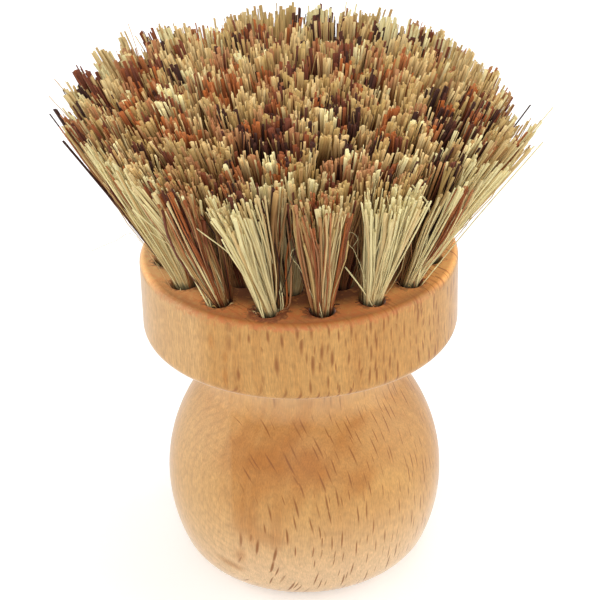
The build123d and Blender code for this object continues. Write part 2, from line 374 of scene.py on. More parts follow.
def round_the_neck(node, shade, in_mm, z, settings):
    """Painted light: a painted highlight on the lower corner of the collar, and painted light from below in the
    hollow under it.
    """
    lip = node("MapRange", {"Value": z, "From Min": TOP / MM - 14.3, "From Max": TOP / MM - 15.6, "To Min": 1.0,
                            "To Max": 1.12})
    above = node("Math", {0: z, 1: TOP / MM - 17.5}, operation="GREATER_THAN")
    lip = node("Math", {0: lip, 1: above}, operation="POWER")
    shade = node("VectorMath", {0: shade, "Scale": lip}, operation="SCALE")
    neck = node("TexNoise", {"Vector": in_mm, "Scale": 0.3})
    neck = node("Math", {0: neck, 1: 3.0, 2: z}, operation="MULTIPLY_ADD")
    under = node("MapRange", {"Value": z, "From Min": TOP / MM - 15.5, "From Max": TOP / MM - 17.5})
    neck = node("MapRange", {"Value": neck, "From Min": 39.5, "From Max": 44.5, "To Max": under})
    neck = node("Math", {0: neck, 1: 0.3}, operation="MULTIPLY")
    return node("Mix", {0: neck, 6: shade, 7: settings.foot}, data_type="RGBA")


def drilled_face(node, shade, in_mm, mottle, settings):
    """End grain on the drilled face, soaked with oil at the front up to a ragged border past its edge, painted
    lighter further in and further back, ripped up round the outer holes, and with painted shade between the
    tufts."""
    x, y, z = node("SeparateXYZ", {0: in_mm}).node.outputs
    ragged = node("TexNoise", {"Vector": in_mm, "Scale": 1.1, "Detail": 3})
    level = node("Math", {0: ragged, 1: -4.0, 2: z}, operation="MULTIPLY_ADD")
    upward = node("MapRange", {"Value": level, "From Min": TOP / MM - 3.5, "From Max": TOP / MM - 2.2})
    soaked = node("MapRange", {"Value": mottle, "From Min": 0.35, "From Max": 0.65, "To Min": 1.0, "To Max": 0.5})
    soaked = node("Math", {0: soaked, 1: upward}, operation="MULTIPLY")
    front = node("VectorMath", {0: in_mm, 1: (-0.05, -1, 0)}, operation="DOT_PRODUCT")
    front = node("MapRange", {"Value": front, "From Min": 8, "From Max": 26, "To Min": 0.15})
    soaked = node("Math", {0: soaked, 1: front}, operation="MULTIPLY")
    shade = node("Mix", {0: soaked, 6: shade, 7: settings.end_grain}, data_type="RGBA")

    # Painted light: further in and further back the face is painted up to 2.15 times lighter.
    out = node("VectorMath", {0: in_mm, 1: (1, 1, 0)}, operation="MULTIPLY")
    out = node("VectorMath", {0: out}, operation="LENGTH")
    inward = node("MapRange", {"Value": out, "From Min": 29, "From Max": 25.5})
    behind = node("MapRange", {"Value": front, "From Min": 0.6, "From Max": 0.3})
    painted_face_light = node("Math", {0: inward, 1: behind}, operation="MAXIMUM")
    painted_face_light = node("MapRange", {"Value": painted_face_light, "To Min": 1.0, "To Max": 2.15})
    face = node("MapRange", {"Value": z, "From Min": TOP / MM - 1.0, "From Max": TOP / MM - 0.3})
    painted_face_light = node("Math", {0: painted_face_light, 1: face}, operation="POWER")
    shade = node("VectorMath", {0: shade, "Scale": painted_face_light}, operation="SCALE")

    # How far each place is from the nearest outer hole, along the ring and outwards
    holes, first = RINGS[OUTER_RING][1:]
    step = 2 * math.pi / holes
    along = node("Math", {0: y, 1: x}, operation="ARCTAN2")
    along = node("Math", {0: along, 1: step / 2 - math.radians(first)}, operation="ADD")
    along = node("Math", {0: along, 1: step}, operation="FLOORED_MODULO")
    along = node("Math", {0: along, 1: step / 2}, operation="SUBTRACT")
    along = node("Math", {0: along, 1: OUTER_HOLES_RADIUS / MM}, operation="MULTIPLY")
    out = node("Math", {0: out, 1: OUTER_HOLES_RADIUS / MM}, operation="SUBTRACT")
    from_hole = node("CombineXYZ", {0: along, 1: out})
    from_hole = node("VectorMath", {0: from_hole}, operation="LENGTH")
    ragged = node("Math", {0: ragged, 1: -4.5, 2: from_hole}, operation="MULTIPLY_ADD")
    # Round x = -5 mm the rim is torn further.
    stretch = node("Math", {0: x, 1: 5.0}, operation="ADD")
    stretch = node("Math", {0: stretch}, operation="ABSOLUTE")
    stretch = node("MapRange", {"Value": stretch, "From Min": 8, "From Max": 2, "To Max": 1.3})
    ragged = node("Math", {0: ragged, 1: stretch}, operation="SUBTRACT")
    torn_rim_and_shade = node("MapRange", {"Value": ragged, "From Min": 1.1, "From Max": 0.1, "To Max": 0.8})
    # Painted shade: between the tufts the face is painted dark in the colour of the ripped-up rim.
    between = node("MapRange", {"Value": out, "From Min": -0.5, "From Max": -3.5, "To Max": 0.8})
    torn_rim_and_shade = node("Math", {0: torn_rim_and_shade, 1: between}, operation="MAXIMUM")
    torn_rim_and_shade = node("Math", {0: torn_rim_and_shade, 1: upward}, operation="MULTIPLY")
    return node("Mix", {0: torn_rim_and_shade, 6: shade, 7: settings.torn_rim_and_shade}, data_type="RGBA")


def split_plant_fibre(settings):
    """Stiff plant fibre, split from leaf bases and stalks and cut to length: dry, matt and streaked
    along its length, in every tone from cream to nearly black, with painted shade inside the tufts and in the
    mouth of its hole, and cut ends painted paler."""
    material, node = new_material("split_plant_fibre")
    tone = node("Attribute", attribute_name="fibre_tone", output="Fac")
    rise = node("Attribute", attribute_name="fibre_rise", output="Fac")
    inner = node("Attribute", attribute_name="fibre_inner", output="Fac")
    grain = node("Attribute", attribute_name="fibre_grain", output="Vector")
    last = len(KINDS) - 1
    shade = node("ValToRGB", {"Fac": tone},
                 ramp=[(i / last, getattr(settings, kind)) for i, kind in enumerate(KINDS)])

    # Streaks 0.1 mm wide and several millimetres long.
    streaks = node("TexNoise", {"Vector": grain, "Scale": 1, "Detail": 3, "Roughness": 0.6})
    tone = node("MapRange", {"Value": streaks, "From Min": 0.3, "From Max": 0.7, "To Min": 0.72, "To Max": 1.14})
    shade = node("VectorMath", {0: shade, "Scale": tone}, operation="SCALE")
    # Painted shade: inside the tufts the fibres are painted darker, from just under their cut ends and again
    # lower down.
    for start, end, inside_shade in ((0.985, 0.87, settings.inside_shade), (0.8, 0.4, settings.deep_shade)):
        deep = node("MapRange", {"Value": rise, "From Min": start, "From Max": end, "To Max": inner})
        shade = node("Mix", {0: deep, 6: shade, 7: inside_shade}, data_type="RGBA", blend_type="MULTIPLY")
    # Painted shade: in the mouth of the hole they are painted dark.
    hole_shade = node("MapRange", {"Value": rise, "From Min": 0.24, "From Max": 0.195, "To Min": 1.0, "To Max": 0.35})
    shade = node("VectorMath", {0: shade, "Scale": hole_shade}, operation="SCALE")
    # The cut ends are ragged and painted paler, most inside the tufts: partly their own paler cut face, partly a
    # painted highlight.
    cut_face_and_highlight = node("MapRange", {"Value": inner, "To Min": 1.0, "To Max": 1.45})
    cut = node("MapRange", {"Value": rise, "From Min": 0.96, "To Min": 1.0, "To Max": cut_face_and_highlight})
    shade = node("VectorMath", {0: shade, "Scale": cut}, operation="SCALE")
    bump = node("Bump", {"Height": streaks, "Strength": 0.5, "Distance": 0.06 * MM})
    surface = node("BsdfPrincipled", {"Base Color": shade, "Roughness": settings.roughness, "Normal": bump,
                                      "IOR": 1.45, "Specular IOR Level": 0.3})
    node("OutputMaterial", {"Surface": surface})
    return material


def drawn_steel(settings):
    """Steel wire, drawn through a die: a bright grey with fine lines along the wire."""
    material, node = new_material("drawn_steel_wire")
    lines = node("Mapping", {"Vector": node("TexCoord", output="Object"), "Scale": (12000, 12000, 900)})
    lines = node("TexNoise", {"Vector": lines, "Scale": 1})
    gloss = node("MapRange", {"Value": lines, "To Min": settings.roughness - 0.1,
                              "To Max": settings.roughness + 0.1})
    bump = node("Bump", {"Height": lines, "Strength": 0.2, "Distance": 0.01 * MM})
    surface = node("BsdfPrincipled", {"Base Color": settings.steel, "Metallic": 1.0, "Roughness": gloss,
                                      "Normal": bump})
    node("OutputMaterial", {"Surface": surface})
    return material


def dress(node, material):
    """Gives a carried-over CAD node its material."""
    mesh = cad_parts[node].data
    mesh.materials.clear()
    mesh.materials.append(material)


def tuft_names():
    """Every tuft as its node name, its ring and its place in the ring."""
    for ring, (name, count, _) in enumerate(RINGS):
        for index in range(count):
            yield (name if count == 1 else f"{name}_{index + 1:02d}"), ring, index


def hole_frame(ring, index):
    """Mouth of a hole, its three directions (outwards, round the ring, up the hole) and its turn."""
    turn = math.radians(RINGS[ring][2] + 360 * index / RINGS[ring][1])
    share = ring / OUTER_RING
    lean = math.atan(share * math.tan(SPLAY))
    out = np.array([math.cos(turn), math.sin(turn), 0])
    along = np.array([-math.sin(turn), math.cos(turn), 0])
    up = np.array([0, 0, 1])
    mouth = out * OUTER_HOLES_RADIUS * share + up * TOP
    return (mouth, out * math.cos(lean) - up * math.sin(lean), along,
            out * math.sin(lean) + up * math.cos(lean), turn)


def tip_places(settings, ring, index, turn, x, y):
    """Where fibres reach the trimmed face, from their shares of the tuft's half widths."""
    pitch = (OUTER_HOLES_RADIUS + settings.height * math.tan(SPLAY)) / OUTER_RING
    half = pitch / 2 + TUFT_OVERLAP
    middle = ring * pitch
    if ring == 0:
        reach, sideways = middle + half * x, half * y
        return np.stack([reach * math.cos(turn) - sideways * math.sin(turn),
                         reach * math.sin(turn) + sideways * math.cos(turn)], 1)
    squarer = (x ** 4 + y ** 4) ** 0.25 / np.maximum(np.hypot(x, y), 1e-6)
    further, swept, wider, _ = OUTER_LEAN[index] if ring == OUTER_RING else (0, 0, 1, 0)
    ahead = np.clip(0.5 + x, 0, 1)
    reach = middle + half * x / squarer + further * MM * np.maximum(x, 0)
    half_angle = math.pi / RINGS[ring][1] * (1 + (wider - 1) * ahead) + TUFT_OVERLAP / reach
    place = turn + half_angle * y / squarer + swept * MM * ahead / reach
    return np.stack([reach * np.cos(place), reach * np.sin(place)], 1)


def pick_tones(random, x, y, ring, index):
    """Kind of each bundle of fibres: like kinds lie together, with some of every kind between them."""
    outside = COMMON_MIX
    if ring == OUTER_RING:
        outside = FRONT_MIXES.get(index, BACK_MIX if index in BACK_TUFTS else OUTSIDE_MIX)
    if ring == OUTER_RING - 1 and index in HOLLOW_SHADE:
        outside = HOLLOW_MIX

    def pick(shares):
        return np.array([random.choice(len(KINDS), p=outside if share > 0 else COMMON_MIX) for share in shares])

    patches = random.uniform(-1, 1, (KIND_PATCHES, 2))
    patch_kinds, any_kind = pick(patches[:, 0]), pick(x)
    away = (x[:, None] - patches[:, 0]) ** 2 + (y[:, None] - patches[:, 1]) ** 2
    near = patch_kinds[away.argmin(1)]
    alike = random.random(len(x)) < (OUTER_ALIKE if ring == OUTER_RING else INNER_ALIKE)
    return np.where(alike, near, any_kind)


def make_tuft(settings, name, ring, index, seed):
    """One tuft: fibres folded under the staple's bar, packed in the hole and fanned to the trimmed face."""
    random = np.random.default_rng(seed)
    outer = ring == OUTER_RING
    mouth, out, along, up, turn = hole_frame(ring, index)
    order = np.arange(BUNDLES)
    r, spin = np.sqrt((order + 0.5) / BUNDLES), order * GOLDEN_ANGLE + seed
    ahead = np.cos(spin) > 0
    bundle_x, bundle_y = (r * np.cos(spin))[ahead], (r * np.sin(spin))[ahead]
    bundles = len(bundle_x)
    look = SEEN_WHOLE if outer and index not in BACK_TUFTS else SEEN_FROM_ABOVE
    n = settings.folded
    of = np.arange(n) % bundles
    member = np.arange(n) // bundles
    r = BUNDLE_SHARE * np.sqrt((member + 0.5) / (n / bundles))
    spin = member * GOLDEN_ANGLE + random.uniform(0, 2 * math.pi, bundles)[of]
    x, y = bundle_x[of] + r * np.cos(spin), bundle_y[of] + r * np.sin(spin)
    packed = HOLE_RADIUS - settings.root_width * look["spare"]
    mouth = mouth - out * (settings.root_width * look["inset"])

    sort = random.random(n)
    blade = sort < (LEAFY_BLADES if outer and index == LEAFY_TUFT else look["blades"])
    hair = sort > 1 - look["hairs"]
    wide = np.clip(random.lognormal(0, 0.36, n), 0.5, 1.9) * settings.tip_width * look["width"]
    wide = np.where(blade, random.uniform(1.7, 2.4, n) * settings.tip_width, wide)
    wide = np.where(hair, random.uniform(0.3, 0.45, n) * settings.tip_width, wide)
    thin = np.where(blade, random.uniform(0.2, 0.3, n), random.uniform(0.5, 0.95, n))
    root_wide = settings.root_width * random.uniform(0.85, 1.15, n) * np.where(blade, 2, 1)
    root_wide = np.minimum(wide * WIDEST_ROOT, root_wide)
    loose = np.where(hair, HAIR_LOOSENESS, 1.0)
    tuft_height = OUTER_LEAN[index][3] * MM if outer else random.normal(0, TUFT_UNEVENNESS)

    def leg(side):
        """Points from the bar up to the cut end, and the width at each."""
        drift = random.normal(0, 0.07, (bundles, 2))[of]
        stray = random.normal(0, 0.06, (n, 2)) * loose[:, None] ** 1.5
        tip = tip_places(settings, ring, index, turn, side * x + drift[:, 0] + stray[:, 0],
                         y + drift[:, 1] + stray[:, 1])
        root = mouth + packed * (side * x[:, None] * out + y[:, None] * along)
        root -= up * ((root[:, 2] - TOP) / up[2])[:, None]
        rise = settings.height + tip[:, 1] * math.tan(settings.tilt) + tuft_height
        rise = rise + np.minimum(random.normal(0, BUNDLE_UNEVENNESS, bundles), BUNDLE_HIGHEST)[of]
        rise = rise + np.clip(random.normal(0, 1, n), -2.5, 1.5) * settings.unevenness
        short = random.random(n) < (look if side > 0 else SEEN_FROM_ABOVE)["short"]
        rise = rise - short * random.uniform(1, 6, n) * MM
        end = np.column_stack([tip, np.full(n, TOP + settings.height)])
        line = end - root
        end = root + line * (rise / settings.height)[:, None]
        bow = random.normal(0, 1, (bundles, 2))[of] * settings.bow
        bow = bow + random.normal(0, 0.6, (n, 2)) * settings.bow * loose[:, None]
        wave = random.normal(0, 0.35, (n, 2)) * settings.bow * loose[:, None]
        points, widths = [], []
        for share in LEG_SHARES:
            spread = share ** 1.1
            point = root + (end - root) * spread
            point[:, 2] = root[:, 2] + (end[:, 2] - root[:, 2]) * share
            point[:, :2] += bow * math.sin(math.pi * share) + wave * math.sin(2 * math.pi * share)
            points.append(point)
            widths.append(root_wide + (wide - root_wide) * share)
        bar_x = side * np.maximum(packed * np.abs(x), 0.5 * MM)
        bar_y = packed * y * 0.72
        at_bar = mouth + bar_x[:, None] * out + bar_y[:, None] * along - up * BAR_DEPTH
        kinds = pick_tones(random, side * bundle_x, bundle_y, ring, index)[of]
        odd = random.random(n) < look["odd"]
        kinds = np.where(odd, random.permutation(kinds), kinds)
        tones = np.clip((kinds + random.uniform(-look["stray"], look["stray"], n)) / (len(KINDS) - 1), 0, 1)
        return at_bar, points, widths, bar_x, bar_y, tones

    at_a, points_a, widths_a, bar_x, bar_y, tones_a = leg(1)
    at_b, points_b, widths_b, _, _, tones_b = leg(-1)
    drop = FOLD_DEPTH + 0.45 * (bar_x - 0.3 * MM)
    middle = mouth + bar_y[:, None] * along - up * drop[:, None]
    down = (drop - BAR_DEPTH) * FOLD_ROUND
    bend_a = at_a - out * (bar_x * (1 - FOLD_ROUND))[:, None] - up * down[:, None]
    bend_b = at_b + out * (bar_x * (1 - FOLD_ROUND))[:, None] - up * down[:, None]
    path = np.array(points_a[::-1] + [at_a, bend_a, middle, bend_b, at_b] + points_b)
    widths = np.array(widths_a[::-1] + [root_wide] * 5 + widths_b)
    rises = np.concatenate([LEG_RISES[::-1], [0.15, 0.1, 0, 0.1, 0.15], LEG_RISES])
    outward = np.arange(len(path)) < len(path) // 2
    tones = np.where(outward[:, None], tones_a, tones_b)
    # How strongly each leg gets the painted shade inside the tufts and the paler painted tips: little on the
    # outer side of the outer tufts
    hollow = HOLLOW_SHADE.get(index, 1.0) if ring == OUTER_RING - 1 else 1.0
    inner = np.where(outward, 0.1 if outer else hollow, 0.7 if outer else 1.0)
    facing = np.where(blade, random.normal(0, 0.3, n), random.uniform(0, math.pi, n))
    normal = np.tile(along.astype(float), (n, 1))
    return sweep_fibres(name, random, path, widths, thin, tones, rises, inner, normal, facing)


def sweep_fibres(name, random, path, widths, thin, tones, rises, inner, normal, facing):
    """Mesh of fibres along their paths. Each has a section of five sides that keeps its form along the
    fibre and turns a little with it."""
    steps, n = path.shape[:2]
    sides = SECTION_SIDES
    tangents = np.gradient(path, axis=0)
    tangents /= np.linalg.norm(tangents, axis=2, keepdims=True)
    corner = np.arange(sides) * 2 * math.pi / sides + random.uniform(0, 2 * math.pi, (n, 1))
    bulge = random.uniform(0.82, 1.12, (n, sides))
    twist = random.uniform(-0.7, 0.7, n)
    rings = np.empty((steps, n, sides, 3))
    offsets = np.empty((steps, n, sides, 2))
    for i in range(steps):
        normal = normal - (normal * tangents[i]).sum(1, keepdims=True) * tangents[i]
        normal /= np.linalg.norm(normal, axis=1, keepdims=True)
        side = np.cross(tangents[i], normal)
        turned = facing[:, None] + twist[:, None] * (i / steps - 0.5)
        u = np.cos(corner) * bulge * widths[i][:, None] / 2
        v = np.sin(corner) * bulge * (widths[i] * thin)[:, None] / 2
        a, b = u * np.cos(turned) - v * np.sin(turned), u * np.sin(turned) + v * np.cos(turned)
        spoke = a[:, :, None] * normal[:, None] + b[:, :, None] * side[:, None]
        if i in (0, steps - 1):
            slope = random.normal(0, 0.3, (n, 1, 2))
            spoke = spoke + (a[..., None] * slope[..., :1] + b[..., None] * slope[..., 1:]) * tangents[i][:, None]
        rings[i] = path[i][:, None] + spoke
        offsets[i] = np.stack([u, v], 2)

    # Vertices run round each section, then along the fibre, then from fibre to fibre.
    rings = rings.transpose(1, 0, 2, 3)
    offsets = offsets.transpose(1, 0, 2, 3)
    per_fibre = steps * sides
    i, k = np.meshgrid(np.arange(steps - 1), np.arange(sides), indexing="ij")
    j = (k + 1) % sides
    quads = np.stack([i * sides + k, i * sides + j, (i + 1) * sides + j, (i + 1) * sides + k], 2).reshape(-1, 4)
    starts = np.arange(n) * per_fibre
    faces = (quads[None] + starts[:, None, None]).reshape(-1, 4)[:, ::-1].tolist()
    first = (np.arange(sides)[None] + starts[:, None]).tolist()
    last = (np.arange(sides)[None] + starts[:, None] + per_fibre - sides)[:, ::-1].tolist()
    mesh = bpy.data.meshes.new(name)
    mesh.from_pydata(rings.reshape(-1, 3).tolist(), [], faces + first + last)
    smooth = np.ones(len(mesh.polygons), bool)
    smooth[len(faces):] = False
    mesh.polygons.foreach_set("use_smooth", smooth)

    run = np.concatenate([np.zeros((1, n)), np.cumsum(np.linalg.norm(np.diff(path, axis=0), axis=2), 0)]).T
    grain = np.empty((n, steps, sides, 3))
    grain[..., :2] = offsets / MM * STREAKS_PER_MM
    grain[..., 2] = (run / MM * STREAKS_ALONG)[:, :, None] + random.uniform(0, 400, n)[:, None, None]
    for label, kind, values in (
        ("fibre_tone", "FLOAT", np.repeat(tones.T[:, :, None], sides, 2)),
        ("fibre_rise", "FLOAT", np.tile(rises[None, :, None], (n, 1, sides))),
        ("fibre_inner", "FLOAT", np.tile(inner[None, :, None], (n, 1, sides))),
        ("fibre_grain", "FLOAT_VECTOR", grain),
    ):
        attribute = mesh.attributes.new(label, kind, "POINT")
        attribute.data.foreach_set("vector" if kind == "FLOAT_VECTOR" else "value",
                                   values.astype(np.float32).ravel())
    add_bake_map(mesh, n, steps, sides)
    mesh.update()
    return mesh


# Fibres out of line: kind, width in millimetres, and a curve, as places in millimetres from the axis and
# above the collar. Each starts in a hole, apart from the last, a sliver of leaf base that lies on a tuft.
STRAYS = [
    ("dark", 0.5, [(-25.0, -3.0, -2), (-34.8, -2.6, 14), (-44.2, -2.8, 30)]),
    ("dark", 0.5, [(-24.0, -5.0, -2), (-32.5, -7.4, 13), (-41.3, -10.3, 28)]),
    ("dark", 1.3, [(-23.9, -2.8, -2), (-34.6, -2.4, 14), (-43.4, -0.8, 30)]),
    ("dark", 0.3, [(-24.7, -3.9, -2), (-33.6, 1.4, 14), (-42.6, 6.9, 30.5)]),
    ("pale", 0.3, [(24.3, -5.8, -2), (37.4, -10.4, 21), (46.0, -8.0, 31)]),
    ("pale", 0.2, [(21.0, -15.3, -2), (31.0, -17.4, 13), (43.1, -18.3, 29)]),
    ("dark", 0.4, [(24.7, 3.9, -2), (33.5, 0.0, 14), (42.3, -4.6, 30)]),
    ("pale", 0.4, [(-15.6, -21.4, -2), (-21.7, -21.7, 11.5), (-28.6, -24.1, 21)]),
    ("pale", 0.35, [(-15.6, -21.4, -2), (-18.5, -20.9, 8), (-25.8, -25.2, 17)]),
    ("pale", 0.35, [(-6.2, -25.8, -2), (-10.3, -29.0, 12), (-17.6, -31.7, 21)]),
    ("pale", 0.3, [(-6.2, -25.8, -2), (-8.1, -29.9, 13), (-6.9, -30.4, 18.5)]),
    ("pale", 0.3, [(13.8, -22.6, -2), (11.0, -24.0, 4), (8.1, -25.1, 9)]),
    ("pale", 0.35, [(21.0, -15.3, -2), (23.1, -23.6, 18), (19.6, -30.0, 27)]),
    ("tan", 0.4, [(21.0, -15.3, -2), (20.0, -19.3, 11), (19.4, -26.5, 24)]),
    ("pale", 0.16, [(4.1, -25.7, -2), (0.5, -28.4, 10), (-1.4, -29.0, 13.5), (-0.4, -29.9, 15.5),
                    (1.1, -29.1, 13.5), (0.2, -28.8, 12)]),
    ("pale", 0.16, [(13.6, -22.2, -2), (10.1, -28.7, 13), (8.3, -31.0, 17), (8.9, -31.2, 19), (10.2, -31.6, 18),
                    (9.4, -30.7, 16)]),
    ("pale", 0.2, [(4.1, -26.2, -2), (2.2, -31.4, 13.5), (3.3, -32.9, 18.5), (1.9, -33.9, 22.5)]),
    ("straw", 0.12, [(-22.6, -13.8, -2), (-28.5, -21.1, 14), (-32.4, -20.5, 13), (-36.7, -20.2, 11)]),
    ("pale", 0.3, [(-4.2, -23.6, -1.5), (-3.0, -24.5, 1.4), (-3.7, -27.0, 11.4), (-2.4, -30.0, 21.6)]),
    ("pale", 0.3, [(-4.4, -23.7, -1.5), (-3.4, -24.5, 1.4), (-4.5, -27.0, 11.4), (-7.2, -30.0, 21.2)]),
    ("tan", 0.4, [(-4.0, -23.8, -1.2), (-3.4, -24.1, 0.2), (-1.8, -24.5, 1.7), (-1.4, -26.5, 11.0),
                   (-1.9, -29.0, 20.5)]),
    ("rust", 0.4, [(-4.0, -23.7, -1.2), (-3.4, -24.0, 0.2), (-2.3, -24.0, 1.5), (-2.3, -26.0, 10.8),
                    (-0.8, -28.5, 19.8)]),
    ("chestnut", 1.6, [(-30.1, -18.2, 17.6), (-32.0, -19.6, 21.6), (-33.3, -20.8, 25.2)]),
]
SLIVER_WIDTH = 1.5 * MM       # from this width a loose fibre is a thin sliver with pointed ends
BROKEN_ENDS = 5               # short ends caught in the rim of each outer hole
TORN_HOLE = 15                # the outer hole with the most torn rim, and its broken ends
TORN_ENDS = 20
FLAT_FACE_RADIUS = 28.5       # in millimetres; further out the rim is rounded off


def curve_through(points, steps):
    """Places at even steps along a smooth curve through a few points."""
    points = np.array(points, float)
    ends = np.array([2 * points[0] - points[1], *points, 2 * points[-1] - points[-2]])
    places = []
    for step in np.linspace(0, len(points) - 1, steps):
        i = min(int(step), len(points) - 2)
        t = step - i
        p = ends[i:i + 4]
        places.append(p[1] + t * (p[2] - p[0]) / 2 + t ** 2 * (p[0] - 2.5 * p[1] + 2 * p[2] - p[3] / 2)
                      + t ** 3 * (1.5 * (p[1] - p[2]) + (p[3] - p[0]) / 2))
    return np.array(places) * MM + (0, 0, TOP)


def make_loose_fibres(name, seed):
    """Fibres that cross the tufts or stand out of them, and short broken ends round the outer holes."""
    random = np.random.default_rng(seed)
    steps = 13
    paths = [curve_through(points, steps) for _, _, points in STRAYS]
    kinds = [KINDS.index(kind) for kind, _, _ in STRAYS]
    wide = [width * MM for _, width, _ in STRAYS]
    for index in range(RINGS[OUTER_RING][1]):
        mouth, out, along, _, _ = hole_frame(OUTER_RING, index)
        mouth = mouth / MM - (0, 0, TOP / MM)
        for spin in random.uniform(0.3, 2 * math.pi - 0.3, TORN_ENDS if index == TORN_HOLE else BROKEN_ENDS):
            away = (out * math.cos(spin) + along * math.sin(spin)) * (1, 1, 0)
            lift, reach = random.uniform(0.2, 0.8), random.uniform(2.5, 3.6)
            aside = np.cross(away, (0, 0, 1)) * random.normal(0, 0.6)
            end = mouth + away * reach
            on_face = math.hypot(*end[:2]) < FLAT_FACE_RADIUS
            points = [mouth + away * 1.9 - (0, 0, 0.6), mouth + away * 2.5 + aside * 0.3 + (0, 0, lift * 0.8),
                      end + aside + (0, 0, lift if on_face else 0.5)]
            paths.append(curve_through(points, steps))
            kinds.append(random.choice(len(KINDS), p=[0.05, 0.05, 0.05, 0.15, 0.35, 0.3, 0.05]))
            wide.append(random.uniform(0.12, 0.3) * MM)
    path = np.array(paths).transpose(1, 0, 2)
    n = len(paths)
    sliver = np.array(wide) > SLIVER_WIDTH
    taper = 0.15 + 0.85 * np.sin(np.linspace(0.05, 0.95, steps) * math.pi)
    widths = np.tile(wide, (steps, 1)) * np.where(sliver[None], taper[:, None], 1)
    tones = np.tile(np.array(kinds) / (len(KINDS) - 1), (steps, 1))
    rises = np.linspace(0.2, 1, steps)
    normal = np.tile([0.0, 1.0, 0.0], (n, 1))
    thin = np.where(sliver, 0.25, 0.6)
    return sweep_fibres(name, random, path, widths, thin, tones, rises, np.zeros(steps), normal,
                        random.uniform(0, math.pi, n))


BUNDLES = 30                  # small bundles of like fibres in a tuft
BUNDLE_SHARE = 0.15           # half width of a bundle, as a share of the tuft's
TUFT_OVERLAP = 0.1 * MM       # how far the tips of neighbouring tufts mingle
TUFT_UNEVENNESS = 0.45 * MM   # in the height of the tufts inside the outer ring
BUNDLE_UNEVENNESS = 1.7 * MM  # in the height of the bundles
BUNDLE_HIGHEST = 1.3 * MM
WIDEST_ROOT = 0.62            # of a fibre's width at the tip
HAIR_LOOSENESS = 2.5          # how much more than the others a hair strays

# Outer tufts: how much further out each reaches at the trimmed face and how far it is swept round
# the ring, both in millimetres, how wide it fans as a share of its own part of the ring, and how
# much higher it is cut, in millimetres
OUTER_LEAN = [
    (0, -2.2, 0.6, 0), (0, -6.0, 0.65, 0), (1.6, 0.3, 1.4, 0), (0.0, -4.3, 0.95, 0.2),
    (-4.6, -1.5, 1, -1.0), (-7.0, 0, 1, -1.2), (-5.4, 0, 1, -0.5), (-3.0, 0, 1, -0.2),
    (-2.2, 0, 1, -0.8), (-3.0, 0, 1, -0.2), (-1.8, 0, 1, -0.1), (-2.2, 0, 1, 0),
    (-2.8, 0, 1, 0), (-4.0, 0, 0.95, 0), (-2.6, -0.4, 0.9, 0), (0, -2.6, 0.42, 0),
]

# Steps of a fibre from its hole to its tip, as shares of that length, and the rise its colour follows there
LEG_SHARES = [0.0, 0.15, 0.32, 0.52, 0.75, 1.0]
LEG_RISES = np.array([0.2, 0.32, 0.456, 0.616, 0.8, 1.0])
SECTION_SIDES = 5
STREAKS_PER_MM = 5.0          # across a fibre
STREAKS_ALONG = 0.16          # along it, in a millimetre

# In a fibre's cell of the bake map, as shares of the cell: size and start of the unrolled side, radius of the
# cut ends, and their middles
BAKE_SIDE, BAKE_SIDE_START = (0.92, 0.76), (0.04, 0.12)
BAKE_END_RADIUS = 0.045
BAKE_ROOT, BAKE_TIP = (0.5, 0.055), (0.5, 0.945)


def add_bake_map(mesh, n, steps, sides):
    """A map with a cell for each fibre, so that its colours survive as an image: its side unrolled over
    most of the cell, with the two cut ends as small discs below and above."""
    across = math.ceil(math.sqrt(n))
    cell = 1 / across
    corners = np.array([[k % across, k // across] for k in range(n)]) * cell
    i, k = np.meshgrid(np.arange(steps - 1), np.arange(sides), indexing="ij")
    u0, u1 = k / sides, (k + 1) / sides
    v0, v1 = i / (steps - 1), (i + 1) / (steps - 1)
    quad = np.stack([np.stack(corner, 2) for corner in ((u0, v1), (u1, v1), (u1, v0), (u0, v0))], 2)
    quad = quad.reshape(-1, 2) * BAKE_SIDE + BAKE_SIDE_START
    spin = np.arange(sides) * 2 * math.pi / sides
    end = np.stack([np.cos(spin), np.sin(spin)], 1) * BAKE_END_RADIUS
    pieces = [(corners[:, None] + quad[None] * cell).reshape(-1, 2)]
    pieces.append((corners[:, None] + (end + BAKE_ROOT)[None] * cell).reshape(-1, 2))
    pieces.append((corners[:, None] + (end[::-1] + BAKE_TIP)[None] * cell).reshape(-1, 2))
    layer = mesh.uv_layers.new(name="OFBake")
    layer.uv.foreach_set("vector", np.concatenate(pieces).astype(np.float32).ravel())


class PALMBRUSH_OT_handle(bpy.types.Operator):
    """Finish the turned handle in waxed beech"""

    bl_idname = "palm_brush.handle"
    bl_label = "Beech handle"

    def execute(self, context):
        dress("handle", turned_beech(context.scene.palm_brush_wood))
        return {"FINISHED"}


class PALMBRUSH_OT_staples(bpy.types.Operator):
    """Finish the hidden staples in drawn steel"""

    bl_idname = "palm_brush.staples"
    bl_label = "Wire staples"

    def execute(self, context):
        dress("tuft_staples", drawn_steel(context.scene.palm_brush_wire))
        return {"FINISHED"}


TUFT_SEED = 11                # of the first tuft; each one after it has the next
LOOSE_SEED = 101


def add_fibres(context, mesh, material, node=None):
    """Adds a piece of fibres, in place of the tuft named, if any."""
    mesh.materials.append(material)
    piece = bpy.data.objects.new(mesh.name, mesh)
    context.scene.collection.objects.link(piece)
    if node:
        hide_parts(node)
    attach(piece, "root")


class PALMBRUSH_OT_tufts(bpy.types.Operator):
    """Fill every hole with its tuft of folded plant fibre"""

    bl_idname = "palm_brush.tufts"
    bl_label = "Fibre tufts"

    def execute(self, context):
        settings = context.scene.palm_brush_fibre
        material = split_plant_fibre(settings)
        for seed, (node, ring, index) in enumerate(tuft_names(), TUFT_SEED):
            add_fibres(context, make_tuft(settings, node + "_fibres", ring, index, seed), material, node)
        add_fibres(context, make_loose_fibres("loose_fibres", LOOSE_SEED), material)
        return {"FINISHED"}


